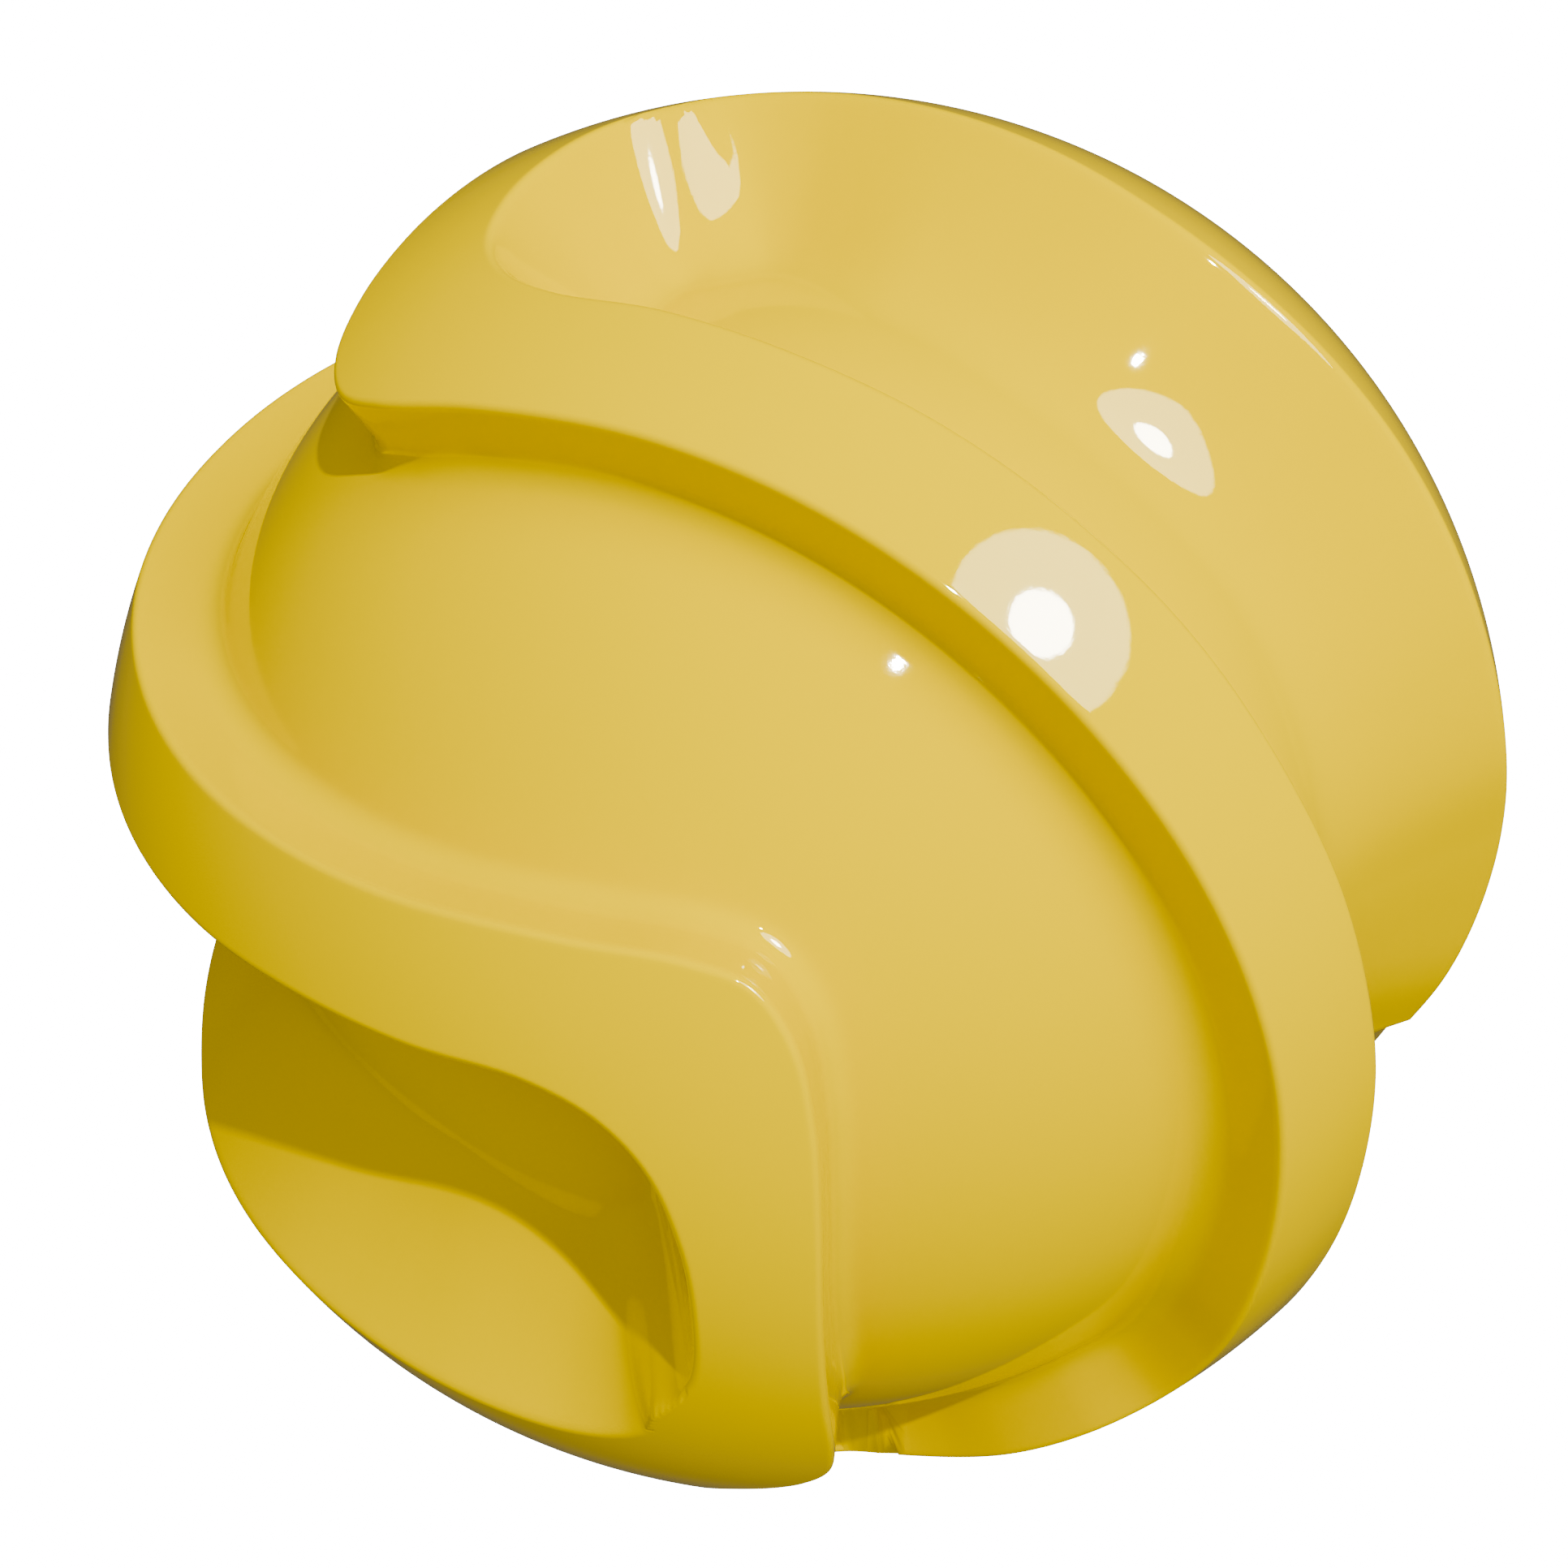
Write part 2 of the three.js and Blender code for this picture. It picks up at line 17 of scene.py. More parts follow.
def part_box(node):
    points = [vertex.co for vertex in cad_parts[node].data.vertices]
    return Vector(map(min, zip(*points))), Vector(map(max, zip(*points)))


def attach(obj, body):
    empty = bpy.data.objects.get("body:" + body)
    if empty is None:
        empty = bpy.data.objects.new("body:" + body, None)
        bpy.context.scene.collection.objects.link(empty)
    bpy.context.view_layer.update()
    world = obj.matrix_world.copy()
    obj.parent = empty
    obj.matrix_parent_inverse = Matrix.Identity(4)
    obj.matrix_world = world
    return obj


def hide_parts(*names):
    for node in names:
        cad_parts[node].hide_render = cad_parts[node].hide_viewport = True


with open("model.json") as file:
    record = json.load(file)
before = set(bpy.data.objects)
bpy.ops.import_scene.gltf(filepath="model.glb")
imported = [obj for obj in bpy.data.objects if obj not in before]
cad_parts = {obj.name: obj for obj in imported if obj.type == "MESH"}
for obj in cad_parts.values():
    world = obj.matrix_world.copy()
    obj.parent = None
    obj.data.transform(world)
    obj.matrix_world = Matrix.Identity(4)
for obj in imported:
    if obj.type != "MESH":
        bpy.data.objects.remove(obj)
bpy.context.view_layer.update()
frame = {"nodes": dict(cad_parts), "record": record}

# ---- dimensions of the ball, in metres ----
# The underside is a flat cut UNDERSIDE_DROP below the ball's centre, with a round opening in it.
# REACH is how far around each point the inner skin looks for the lowest outside.
BALL_R = 0.480
WALL = 0.008
FLOOR_WALL = 0.014
UNDERSIDE_DROP = 0.410
UNDERSIDE_ROUND = 0.003
OPENING_R = 0.128
REACH = 0.012
BALL_CENTRE = Vector((0, 0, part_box("ball_shell")[0].z + UNDERSIDE_DROP))

CHANNEL = {"depth": 0.054, "draft": 0.008, "lip": 0.005, "foot": 0.020}
SEAT = {
    "depth": 0.104, "draft": 0.034, "lip": 0.006, "foot": 0.085, "rim_lip": 0.008, "rim_foot": 0.110,
    "steep": 2.2, "gentle": 1.6, "steep_until": 0.05, "gentle_from": 0.35,
}

# ---- feature lines ----
# Each pair is (u, v) in degrees: the polar angle from +Z is its length, the azimuth its direction.
# The channel line runs along the edge of one band; its 180-degree copy closes the loop.
CHANNEL_EDGE = [
    (2, -105), (11, -104), (20.7, -100.6), (31.6, -94.2), (42, -86.8), (51.6, -78.4), (56.1, -70),
    (58.2, -61), (59.3, -50), (58.9, -40.6), (57, -30.8), (53, -20.8), (47, -11.1), (38.7, -1.9),
    (29.7, 5.3), (19.7, 11), (8.4, 15.3), (-4.9, 18.2), (-13.5, 19.6), (-17.8, 21.3), (-20.4, 25.5),
    (-21.3, 32), (-20.9, 40), (-19.9, 48), (-18.5, 58), (-17, 67), (-15.1, 72.3), (-11.6, 75.6),
    (-8.4, 77.3), (0, 80.5), (7, 86), (10, 94), (6, 101),
]
SEAT_BACK = [
    (62, -88), (67, -76), (69.8, -65), (71.2, -53.5), (71, -44), (69.4, -32), (66.7, -23.6),
    (62, -13.6), (56.4, -5.4), (47.8, 4.5), (38.4, 12.1), (28.2, 18.2), (18.2, 22.5), (8, 26),
    (-1, 28.2), (-6, 31), (-9, 35), (-10.3, 41), (-10, 47), (-8, 54.5), (-3.5, 61),
]
SEAT_RIM = [
    (2, 64), (8, 64.8), (15, 63.8), (24, 61), (34, 56.5), (44, 50.8), (54, 45.5), (63, 40.5),
    (72, 34.5), (80, 27), (88, 17.5), (96, 6.5), (103.3, -2.5), (109, -13), (113.2, -27), (115.5, -42),
    (112.5, -58), (103, -73), (88, -86), (74, -92),
]

# ---- spacing of the skin's points, in metres ----
CLOSEST = 0.0016
SPREAD = 0.0062
INNER_SPREAD = 0.013
ROW_MARGIN = SPREAD * 0.4
ROW_SLACK = 0.0002
# ROW_STRAY is the share of its offset by which a row's point may miss the offset. PACKING is the
# number of points that an area of one spacing squared takes. SEAM_GAP, in spacings, keeps the spread
# points clear of the seam between the two halves. MERGE joins points in the flattened ball.
ROW_STRAY = 0.06
PACKING = 1.15
SEAM_GAP = 0.35
MERGE = 1e-7
KNOT_SAMPLES = 64
TINY = 1e-6
CHANNEL_ROWS = [
    -0.016, -0.0095, -0.0062, -0.0044, -0.0032, -0.0021, -0.0012, -0.0004, 0.0001, 0.0005, 0.001, 0.0025,
    0.0042, 0.0055, 0.0065, 0.008, 0.010, 0.0124, 0.0153, 0.0185, 0.0218, 0.0253, 0.030,
]
BACK_ROWS = [
    -0.014, -0.008, -0.0055, -0.0042, -0.003, -0.0018, -0.0006, 0.0006, 0.0018, 0.0035, 0.0055,
    0.008, 0.011, 0.015, 0.019, 0.024, 0.029, 0.0345,
]
RIM_ROWS = [
    -0.015, -0.010, -0.0075, -0.0055, -0.0035, -0.0015, 0.0005, 0.0025, 0.0045, 0.0075, 0.011, 0.015, 0.020,
]
OPENING_POINTS = 128
UNDERSIDE_POINTS = 420
# The step along a feature line, the rings beside the underside's edge and the gaps kept free of
# spread points, in radians.
LINE_STEP = math.radians(0.35)
UNDERSIDE_RINGS = (-0.012, -0.006, -0.003, 0, 0.003, 0.006, 0.012)
UNDERSIDE_GAP = 0.02
OPENING_GAP = 0.02
INNER_OPENING_GAP = 0.03

HALF_TURN = np.array([-1, -1, 1])


# ---------------------------------------------------------------- directions and lines on the ball


def turned(points):
    return [(-u, -v) for u, v in points]


def knot_gap(a, b):
    """The parameter's step between two knots of a centripetal line."""
    return max(np.linalg.norm(b - a) ** 0.5, TINY)


def smooth_line(knots, closed, step):
    """Centripetal Catmull-Rom line through the chart points, resampled every step radians."""
    p = np.array(knots, float)
    count = len(p)
    pieces = []
    for i in range(count if closed else count - 1):
        p1, p2 = p[i], p[(i + 1) % count]
        p0 = p[i - 1] if closed or i > 0 else 2 * p1 - p2
        p3 = p[(i + 2) % count] if closed or i + 2 < count else 2 * p2 - p1
        d0, d1, d2 = knot_gap(p0, p1), knot_gap(p1, p2), knot_gap(p2, p3)
        t1 = ((p1 - p0) / d0 - (p2 - p0) / (d0 + d1) + (p2 - p1) / d1) * d1
        t2 = ((p2 - p1) / d1 - (p3 - p1) / (d1 + d2) + (p3 - p2) / d2) * d1
        t = np.linspace(0, 1, KNOT_SAMPLES + 1)[:-1, None]
        c2 = 3 * (p2 - p1) - 2 * t1 - t2
        c3 = 2 * (p1 - p2) + t1 + t2
        pieces.append(p1 + t1 * t + c2 * t**2 + c3 * t**3)
    line = np.concatenate(pieces + [p[:1] if closed else p[-1:]])
    along = np.r_[0, np.cumsum(np.linalg.norm(np.diff(line, axis=0), axis=1))]
    even = np.linspace(0, along[-1], max(8, round(along[-1] / math.degrees(step))) + 1)
    line = np.stack([np.interp(even, along, line[:, k]) for k in (0, 1)], axis=1)
    return line[:-1] if closed else line


def chart_to_direction(chart):
    polar = np.radians(np.hypot(chart[:, 0], chart[:, 1]))
    azimuth = np.arctan2(chart[:, 1], chart[:, 0])
    ring = np.sin(polar)
    return np.stack([ring * np.cos(azimuth), ring * np.sin(azimuth), np.cos(polar)], axis=1)


def unit(vectors):
    return vectors / np.linalg.norm(vectors, axis=1, keepdims=True)


class Line:
    """A feature line on the unit sphere.

    Seen from outside, its inner side is on the left of it, or on the right where side is -1.
    """

    def __init__(self, knots, closed, side=1):
        self.closed = closed
        self.points = chart_to_direction(smooth_line(knots, closed, LINE_STEP))
        if closed:
            tangent = np.roll(self.points, -1, axis=0) - np.roll(self.points, 1, axis=0)
        else:
            tangent = np.gradient(self.points, axis=0)
        self.inward = unit(np.cross(self.points, tangent)) * side
        self.tree = KDTree(len(self.points))
        for index, point in enumerate(self.points):
            self.tree.insert(point, index)
        self.tree.balance()

    def distance(self, directions):
        """(distance in metres along the ball, True where the direction lies inside)"""
        nearest = np.array([self.tree.find(d)[1] for d in directions])
        count = len(self.points)
        best = np.full(len(directions), 10.0)
        for shift in (-1, 0):
            start = nearest + shift
            start = start % count if self.closed else np.clip(start, 0, count - 2)
            a = self.points[start]
            ab = self.points[(start + 1) % count] - a
            t = np.clip(((directions - a) * ab).sum(1) / (ab * ab).sum(1), 0, 1)
            best = np.minimum(best, np.linalg.norm(directions - a - t[:, None] * ab, axis=1))
        side = ((directions - self.points[nearest]) * self.inward[nearest]).sum(1)
        return 2 * np.arcsin(np.minimum(1, best / 2)) * BALL_R, side > 0

    def row(self, offset):
        """Points offset metres inside the line, where it bends gently enough to have them."""
        angle = offset / BALL_R
        shifted = self.points * math.cos(angle) + self.inward * math.sin(angle)
        distance = self.distance(shifted)[0]
        stray = np.abs(distance - abs(offset))
        kept = shifted[stray < ROW_STRAY * abs(offset) + ROW_SLACK]
        gaps = np.linalg.norm(np.diff(kept, axis=0), axis=1) * BALL_R
        return kept[np.r_[True, gaps > CLOSEST]]


channel_line = Line(CHANNEL_EDGE + turned(CHANNEL_EDGE), True)
seat_loop = Line(SEAT_BACK + SEAT_RIM, True, side=-1)
back_line = Line(SEAT_BACK, False, side=-1)
rim_line = Line([SEAT_BACK[-1]] + SEAT_RIM + [SEAT_BACK[0]], False, side=-1)


# ---------------------------------------------------------------- shape of the ball


def smooth_min(a, b, blend):
    """The smaller of a and b, rounded where they differ by less than blend."""
    near = np.maximum(blend - np.abs(a - b), 0) / blend
    return np.minimum(a, b) - near * near * blend / 4


def wall_depth(x, draft, fall, lip):
    """Depth of a drafted wall with a rounded lip, x metres inside its edge."""
    slope = np.arctan2(fall, draft)
    tangent = lip * np.tan(slope / 2)
    arc = lip - np.sqrt(np.maximum(0, lip * lip - (x + tangent) ** 2))
    return np.where(x <= -tangent, 0, np.where(x < tangent * np.cos(slope), arc, x * fall / draft))


def channel_depth(directions):
    """A channel of even depth, its wall rounded at the lip and at the foot."""
    distance, inside = channel_line.distance(directions)
    x = np.where(inside, distance, -distance)
    depth, draft = CHANNEL["depth"], CHANNEL["draft"]
    upper = wall_depth(x, draft, depth, CHANNEL["lip"])
    lower = depth - wall_depth(draft - x, draft, depth, CHANNEL["foot"])
    return np.where(x < draft / 2, upper, lower)


def seat_depth(directions):
    """A bowl with a steep back wall. Its rim wall grows gentler towards the open end, along +X."""
    inside = seat_loop.distance(directions)[1]
    back = back_line.distance(directions)[0]
    rim = rim_line.distance(directions)[0]
    beyond_rim = ~inside & (rim < back)
    beyond_back = ~inside & ~beyond_rim
    back = np.where(beyond_back, -back, back)
    rim = np.where(beyond_rim, -rim, rim)
    run = SEAT["gentle_from"] - SEAT["steep_until"]
    along = np.clip((directions[:, 0] - SEAT["steep_until"]) / run, 0, 1)
    climb = SEAT["steep"] + (SEAT["gentle"] - SEAT["steep"]) * along * along * (3 - 2 * along)
    rim_wall = wall_depth(rim, SEAT["depth"] / climb, SEAT["depth"], SEAT["rim_lip"])
    floor = smooth_min(rim_wall, SEAT["depth"], SEAT["rim_foot"])
    wall = wall_depth(back, SEAT["draft"], SEAT["depth"], SEAT["lip"])
    reached = np.minimum(back, rim) > -SEAT["rim_lip"]
    return np.where(reached, np.maximum(0, smooth_min(wall, floor, SEAT["foot"])), 0)


def outer_radius(directions):
    """The skin's outside: the ball, less its channel and both seats, cut flat underneath."""
    seats = np.maximum(seat_depth(directions), seat_depth(directions * HALF_TURN))
    sunk = np.maximum(channel_depth(directions), seats)
    underside = UNDERSIDE_DROP / np.maximum(-directions[:, 2], TINY)
    return smooth_min(BALL_R - sunk, underside, UNDERSIDE_ROUND)


def inner_radius(directions):
    """The skin's inside: the lowest outside nearby, less the wall."""
    any_axis = [0.3, 0.5, 0.8]
    side = unit(np.cross(directions, any_axis))
    up = np.cross(directions, side)
    lowest = outer_radius(directions)
    for turn in np.arange(8) * math.pi / 4:
        tilt = (side * math.cos(turn) + up * math.sin(turn)) * math.tan(REACH / BALL_R)
        lowest = np.minimum(lowest, outer_radius(unit(directions + tilt)))
    floor = (UNDERSIDE_DROP - FLOOR_WALL) / np.maximum(-directions[:, 2], TINY)
    return np.minimum(lowest - WALL, floor)


# ---------------------------------------------------------------- skins


def spread_points(spacing, reach):
    """Evenly spread directions on one half of the ball, from the top down to the polar angle reach."""
    count = int(4 * math.pi * (BALL_R / spacing) ** 2 * PACKING)
    index = np.arange(count) + 0.5
    z = 1 - 2 * index / count
    azimuth = index * math.pi * (3 - math.sqrt(5))
    ring = np.sqrt(1 - z * z)
    points = np.stack([ring * np.cos(azimuth), ring * np.sin(azimuth), z], axis=1)
    return points[(points[:, 1] > SEAM_GAP * spacing / BALL_R) & (z > math.cos(reach))]


def ring_points(polar, count):
    """Half of a ring of count directions at a polar angle."""
    azimuth = (np.arange(count // 2) + 0.5) * 2 * math.pi / count
    ring = np.full(len(azimuth), math.sin(polar))
    height = np.full(len(azimuth), math.cos(polar))
    return np.stack([ring * np.cos(azimuth), ring * np.sin(azimuth), height], axis=1)


def skin(half, radius, opening):
    """(points, triangles) of a skin from half of its directions, the opening's ring first."""
    half = half * radius(half)[:, None]
    points = np.concatenate([half, half * HALF_TURN])
    points = points[np.argsort(~np.tile(opening, 2), kind="stable")]
    directions = unit(points)
    flat = directions[:, :2] / (1 + directions[:, 2:3])
    result = delaunay_2d_cdt([Vector(p) for p in flat], [], [], 0, MERGE, True)
    kept = np.array([origin[0] for origin in result[3]])
    return points[kept], np.array(result[2], int)


def outer_skin():
    """Rows of points along the feature lines and the underside's edge, and spread points between."""
    opening = math.pi - math.atan2(OPENING_R, UNDERSIDE_DROP)
    edge = math.pi - math.acos(UNDERSIDE_DROP / BALL_R)
    lines = ((channel_line, CHANNEL_ROWS), (back_line, BACK_ROWS), (rim_line, RIM_ROWS))
    rows = []
    for line, offsets in lines:
        for offset in offsets:
            row = line.row(offset)
            rows.append(row[row[:, 1] > 0])
            if line is not channel_line:
                rows.append(row[row[:, 1] < 0] * HALF_TURN)
    spread = spread_points(SPREAD, opening - OPENING_GAP)
    polar = np.arccos(np.clip(spread[:, 2], -1, 1))
    clear = np.abs(polar - edge) > UNDERSIDE_GAP
    for line, offsets in lines:
        first, last = offsets[0] - ROW_MARGIN, offsets[-1] + ROW_MARGIN
        for copy in (spread, spread * HALF_TURN):
            distance, inside = line.distance(copy)
            signed = np.where(inside, distance, -distance)
            clear &= (signed < first) | (signed > last)
    rings = [ring_points(edge + step, UNDERSIDE_POINTS) for step in UNDERSIDE_RINGS]
    hole = ring_points(opening, OPENING_POINTS)
    half = np.concatenate([hole] + rows + rings + [spread[clear]])
    return skin(half, outer_radius, np.arange(len(half)) < len(hole))


def inner_skin():
    opening = math.pi - math.atan2(OPENING_R, UNDERSIDE_DROP - FLOOR_WALL)
    hole = ring_points(opening, OPENING_POINTS)
    spread = spread_points(INNER_SPREAD, opening - INNER_OPENING_GAP)
    half = np.concatenate([hole, spread])
    return skin(half, inner_radius, np.arange(len(half)) < len(hole))


def add_object(name, data):
    obj = bpy.data.objects.new(name, data)
    bpy.context.scene.collection.objects.link(obj)
    return obj


def make_shell():
    """Both skins, joined by a band around the opening."""
    outer, outer_faces = outer_skin()
    inner, inner_faces = inner_skin()
    first = len(outer)
    ring = np.arange(OPENING_POINTS)
    after = np.roll(ring, -1)
    mesh = bpy.data.meshes.new("moulded_ball_shell")
    faces = outer_faces.tolist()
    faces += (inner_faces[:, ::-1] + first).tolist()
    faces += np.stack([after, ring, ring + first, after + first], axis=1).tolist()
    mesh.from_pydata((np.concatenate([outer, inner]) + np.array(BALL_CENTRE)).tolist(), [], faces)
    mesh.validate()
    mesh.shade_smooth()
    sharp = mesh.attributes.new("sharp_face", "BOOLEAN", "FACE")
    flags = np.zeros(len(mesh.polygons), bool)
    flags[len(outer_faces) + len(inner_faces):] = True
    sharp.data.foreach_set("value", flags)
    return add_object("moulded_ball_shell", mesh)


# ---------------------------------------------------------------- materials


class Shader:
    """A node material under construction: helpers that add a node and link its inputs."""

    def __init__(self, name):
        self.material = bpy.data.materials.new(name)
        self.material.use_nodes = True
        self.tree = self.material.node_tree
        self.surface = self.tree.nodes["Principled BSDF"]
        self.where = self.add("ShaderNodeTexCoord").outputs["Object"]

    def add(self, kind, **settings):
        node = self.tree.nodes.new(kind)
        for key, value in settings.items():
            setattr(node, key, value)
        return node

    def link(self, source, target):
        self.tree.links.new(source, target)

    def noise(self, scale, detail=4.0, roughness=0.55):
        node = self.add("ShaderNodeTexNoise")
        node.inputs["Scale"].default_value = scale
        node.inputs["Detail"].default_value = detail
        node.inputs["Roughness"].default_value = roughness
        self.link(self.where, node.inputs["Vector"])
        return node.outputs["Fac"]

    def ramp(self, source, *stops):
        """Greys or colours at positions along the source's value."""
        node = self.add("ShaderNodeValToRGB")
        elements = node.color_ramp.elements
        while len(elements) < len(stops):
            elements.new(0.5)
        for element, (position, value) in zip(elements, stops):
            element.position = position
            element.color = (*value, 1) if isinstance(value, tuple) else (value, value, value, 1)
        self.link(source, node.inputs["Fac"])
        return node.outputs["Color"]

    def mix(self, factor, a, b):
        node = self.add("ShaderNodeMix", data_type="RGBA")
        colour_inputs = [socket for socket in node.inputs if socket.type == "RGBA"]
        for socket, value in zip(colour_inputs, (a, b)):
            if isinstance(value, tuple):
                socket.default_value = (*value, 1)
            else:
                self.link(value, socket)
        self.link(factor, node.inputs["Factor"])
        return next(socket for socket in node.outputs if socket.type == "RGBA")

    def bump(self, *layers):
        """Layers of (height source, height in metres)."""
        normal = None
        for source, height in layers:
            node = self.add("ShaderNodeBump")
            node.inputs["Distance"].default_value = height
            self.link(source, node.inputs["Height"])
            if normal is not None:
                self.link(normal, node.inputs["Normal"])
            normal = node.outputs["Normal"]
        self.link(normal, self.surface.inputs["Normal"])

    def set(self, **values):
        for key, value in values.items():
            socket = self.surface.inputs[key.replace("_", " ")]
            if isinstance(value, bpy.types.NodeSocket):
                self.link(value, socket)
            else:
                socket.default_value = value


YELLOW = (0.80, 0.574, 0.0045)
YELLOW_MOTTLE = (0.775, 0.565, 0.006)
YELLOW_IOR = 1.5


def darker(colour, share):
    return tuple(c * share for c in colour)


def yellow_plastic():
    """Glossy moulded plastic, with a faint drift of tone and a faint change of gloss."""
    s = Shader("yellow_gloss_shell")
    drift = s.ramp(s.noise(2.3, 3.0), (0.3, 0.0), (0.7, 1.0))
    mottle = s.ramp(s.noise(38.0, 5.0), (0.45, 0.0), (0.8, 0.3))
    tone = s.mix(drift, YELLOW, darker(YELLOW, 0.985))
    s.set(Base_Color=s.mix(mottle, tone, YELLOW_MOTTLE), IOR=YELLOW_IOR)
    s.set(Roughness=s.ramp(s.noise(9.0, 6.0), (0.3, 0.02), (0.7, 0.04)))
    s.bump((s.noise(420.0, 2.0), 0.00001))
    return s.material


def blotched(name, colour, metallic, roughness, grain, height):
    """Steel, brass or rubber: darker blotches, and a fine grain in the gloss and in the relief."""
    s = Shader(name)
    blotch = s.ramp(s.noise(grain * 0.1, 5.0), (0.42, 0.0), (0.75, 0.8))
    fine = s.noise(grain, 6.0)
    s.set(Base_Color=s.mix(blotch, colour, darker(colour, 0.72)), Metallic=metallic)
    s.set(Roughness=s.ramp(fine, (0.3, roughness * 0.75), (0.7, min(1.0, roughness * 1.35))))
    s.bump((fine, height))
    return s.material


SLOT_MATERIALS = {
    "yellow_shell": yellow_plastic(),
    "painted_steel": blotched("painted_steel", (0.045, 0.05, 0.055), 0.0, 0.38, 260.0, 0.00006),
    "zinc_steel": blotched("zinc_steel", (0.55, 0.56, 0.57), 1.0, 0.32, 420.0, 0.00003),
    "bright_steel": blotched("bright_steel", (0.62, 0.61, 0.59), 1.0, 0.18, 600.0, 0.00001),
    "brass": blotched("brass", (0.72, 0.51, 0.22), 1.0, 0.3, 500.0, 0.00002),
    "black_rubber": blotched("black_rubber", (0.02, 0.02, 0.021), 0.0, 0.62, 320.0, 0.00005),
}


shell = make_shell()
shell.data.materials.append(SLOT_MATERIALS["yellow_shell"])
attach(shell, "ball")
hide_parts("ball_shell")

for part in frame["record"]["subparts"]:
    node_mesh = frame["nodes"][part["node"]].data
    node_mesh.materials.clear()
    node_mesh.materials.append(SLOT_MATERIALS[part["material_slot"]])


# ---------------------------------------------------------------- stage, lights and camera

# The camera's axes and its distance from the ball's centre; half the picture's width at one metre;
# the picture's shift as a share of its width. The sun's angle is in degrees.
VIEW_RIGHT = Vector((0.93206, 0.05611, -0.35792))
VIEW_UP = Vector((0.0, 0.98792, 0.15497))
VIEW_BACK = Vector((0.36229, -0.14445, 0.92080))
VIEW_DISTANCE = 3.96 * BALL_R
HALF_VIEW = 0.29145
SENSOR = 36.0
SHIFT_X = -0.013872
SHIFT_Y = 0.005952
FLOOR_HALF = 40.0
FLOOR_WHITE = 5.0
DOME = 0.50
DOME_IN_GLOSS = 0.10
SUN_STRENGTH = 2.05
SUN_ANGLE = 1.2
SUN_DISTANCE = 3.0


def make_floor():
    """A white floor that lights nothing: it shows plain, without a shadow."""
    mesh = bpy.data.meshes.new("floor")
    half = FLOOR_HALF
    corners = [(-half, -half, 0), (half, -half, 0), (half, half, 0), (-half, half, 0)]
    mesh.from_pydata(corners, [], [(0, 1, 2, 3)])
    floor = add_object("floor", mesh)
    material = bpy.data.materials.new("floor_white")
    material.use_nodes = True
    surface = material.node_tree.nodes["Principled BSDF"]
    surface.inputs["Base Color"].default_value = (0.0, 0.0, 0.0, 1)
    surface.inputs["Specular IOR Level"].default_value = 0.0
    surface.inputs["Roughness"].default_value = 1.0
    surface.inputs["Emission Color"].default_value = (1, 1, 1, 1)
    surface.inputs["Emission Strength"].default_value = FLOOR_WHITE
    mesh.materials.append(material)
    floor.visible_diffuse = False
    floor.visible_glossy = False
    floor.visible_shadow = False


def aim(light, direction, distance):
    """Puts a light out from the ball's centre in this direction, shining at the centre."""
    place = BALL_CENTRE + direction.normalized() * distance
    turn = (place - BALL_CENTRE).normalized().to_track_quat("Z", "Y").to_matrix().to_4x4()
    light.matrix_world = Matrix.Translation(place) @ turn


def disc_light(name, direction, distance, half_angle, radiance, glossy=True, diffuse=True):
    """A round light of this half-angle in degrees, seen from the ball's surface, and this radiance."""
    data = bpy.data.lights.new(name, "AREA")
    data.shape = "DISK"
    data.size = 2 * math.tan(math.radians(half_angle)) * (distance - BALL_R)
    data.energy = radiance * math.pi * math.pi * (data.size / 2) ** 2
    light = add_object(name, data)
    aim(light, direction, distance)
    light.visible_glossy = glossy
    light.visible_diffuse = diffuse
    light.visible_camera = False


def from_view(right, up, back):
    """A direction in the scene from its share along the camera's axes."""
    return VIEW_RIGHT * right + VIEW_UP * up + VIEW_BACK * back


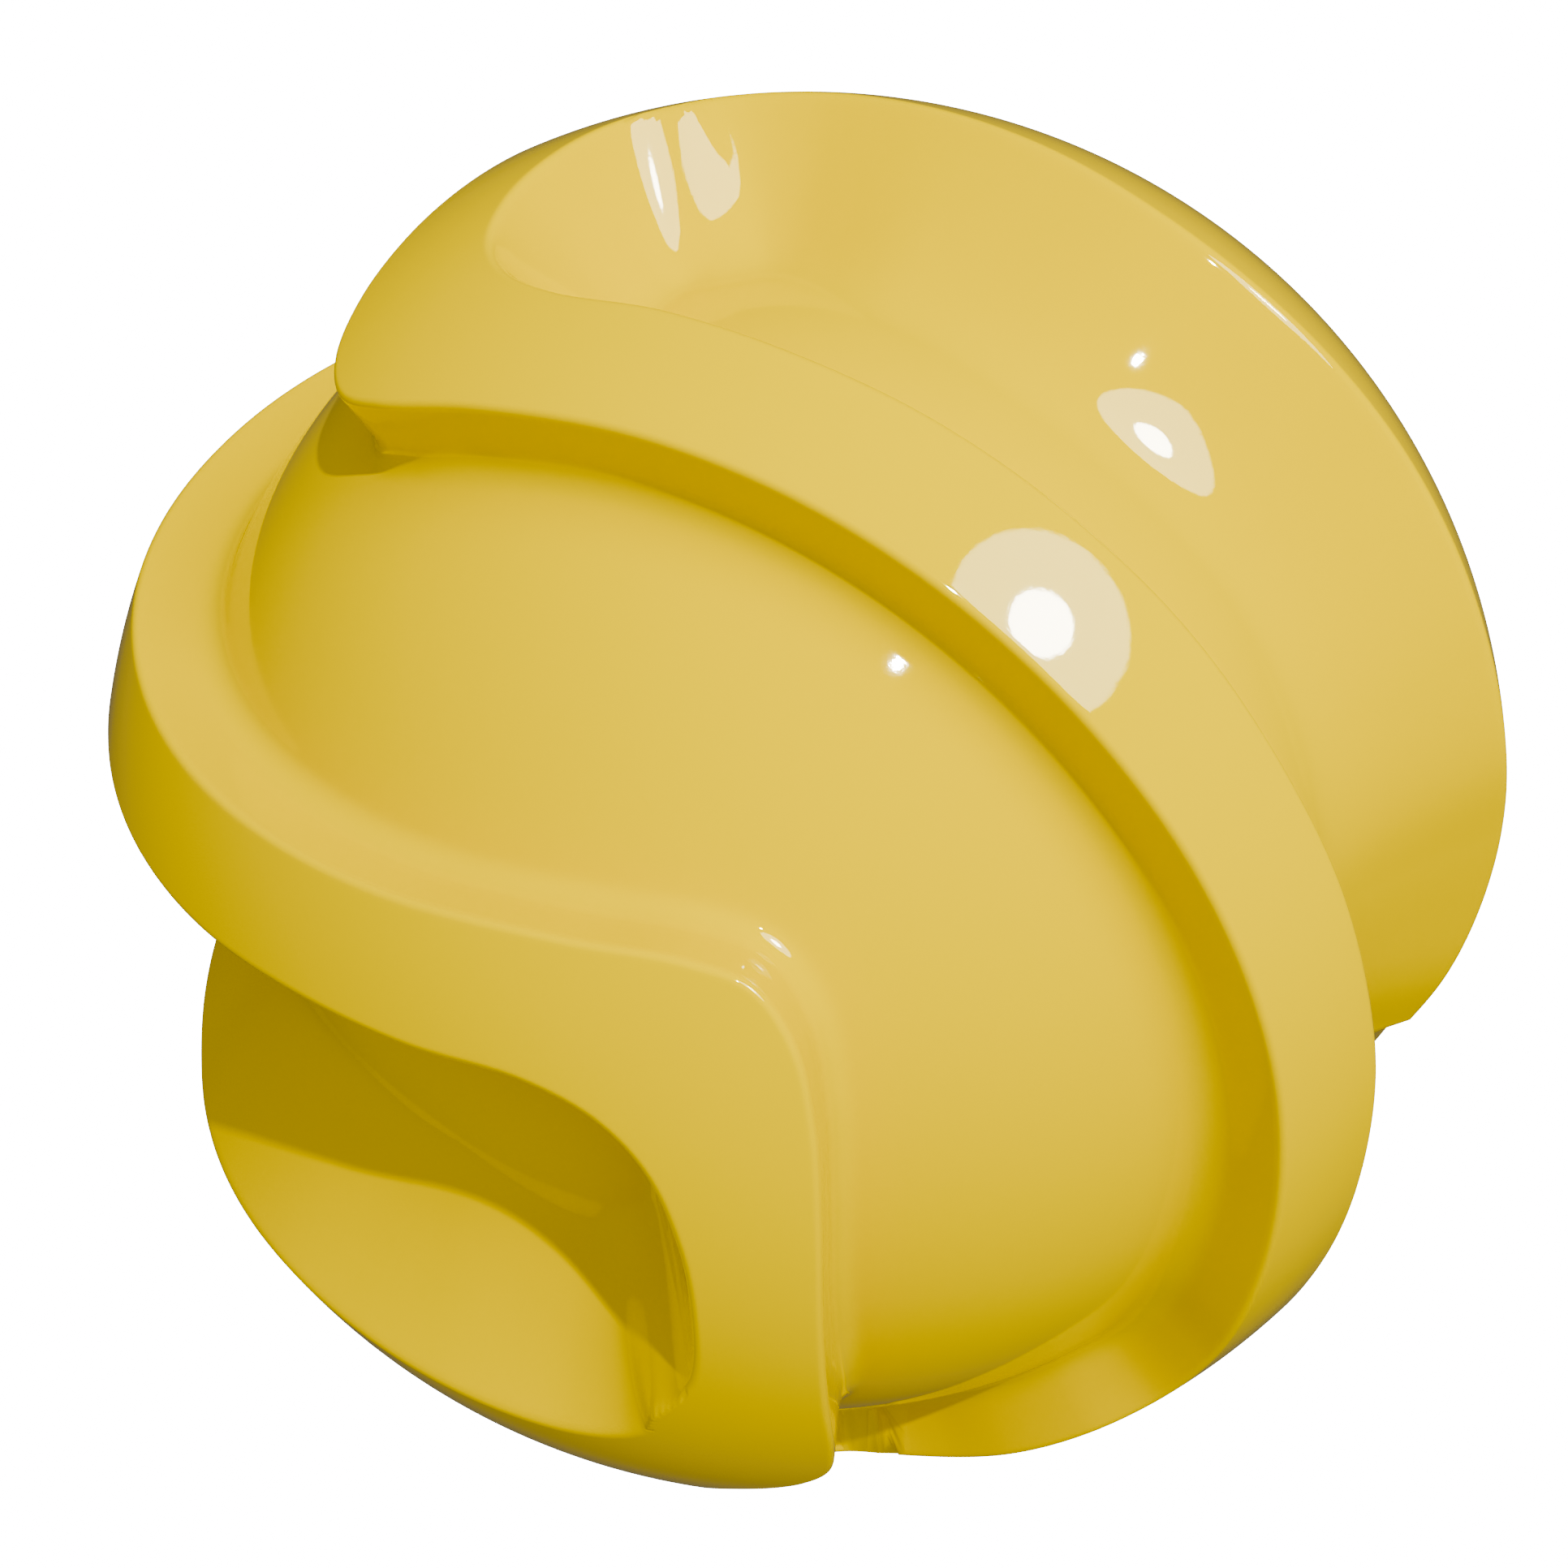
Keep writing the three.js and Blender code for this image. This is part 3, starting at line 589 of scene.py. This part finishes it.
def make_world():
    """An even grey dome as soft fill light, seen as plain white by the camera."""
    world = bpy.data.worlds.new("studio")
    bpy.context.scene.world = world
    world.use_nodes = True
    tree = world.node_tree
    dome = tree.nodes["Background"]
    dim = tree.nodes.new("ShaderNodeBackground")
    white = tree.nodes.new("ShaderNodeBackground")
    for background, strength in ((dome, DOME), (dim, DOME_IN_GLOSS), (white, FLOOR_WHITE)):
        background.inputs["Color"].default_value = (1, 1, 1, 1)
        background.inputs["Strength"].default_value = strength
    path = tree.nodes.new("ShaderNodeLightPath")
    matt = tree.nodes.new("ShaderNodeMixShader")
    mix = tree.nodes.new("ShaderNodeMixShader")
    tree.links.new(path.outputs["Is Glossy Ray"], matt.inputs["Fac"])
    tree.links.new(dome.outputs["Background"], matt.inputs[1])
    tree.links.new(dim.outputs["Background"], matt.inputs[2])
    tree.links.new(path.outputs["Is Camera Ray"], mix.inputs["Fac"])
    tree.links.new(matt.outputs["Shader"], mix.inputs[1])
    tree.links.new(white.outputs["Background"], mix.inputs[2])
    tree.links.new(mix.outputs["Shader"], tree.nodes["World Output"].inputs["Surface"])


def make_sun(direction):
    data = bpy.data.lights.new("sun", "SUN")
    data.energy = SUN_STRENGTH
    data.angle = math.radians(SUN_ANGLE)
    light = add_object("sun", data)
    aim(light, direction, SUN_DISTANCE)


def make_camera():
    data = bpy.data.cameras.new("camera")
    data.sensor_width = SENSOR
    data.lens = SENSOR / 2 / HALF_VIEW
    data.shift_x = SHIFT_X
    data.shift_y = SHIFT_Y
    data.clip_start = 0.01
    camera = add_object("camera", data)
    place = BALL_CENTRE + VIEW_BACK * VIEW_DISTANCE
    turn = Matrix((VIEW_RIGHT, VIEW_UP, VIEW_BACK)).transposed().to_4x4()
    camera.matrix_world = Matrix.Translation(place) @ turn
    bpy.context.scene.camera = camera


bpy.context.scene.view_settings.view_transform = "AgX"
bpy.context.scene.view_settings.look = "AgX - High Contrast"
make_floor()
make_world()
make_sun(from_view(0.262, 0.368, 0.892))
softbox = from_view(0.561, 0.405, 0.720)
disc_light("softbox_core", softbox, distance=30.0, half_angle=5.0, radiance=55.0, diffuse=False)
disc_light("softbox_halo", softbox, distance=30.1, half_angle=14.0, radiance=8.0, diffuse=False)
disc_light("softbox", softbox, distance=30.2, half_angle=14.0, radiance=5.2, glossy=False)
make_camera()
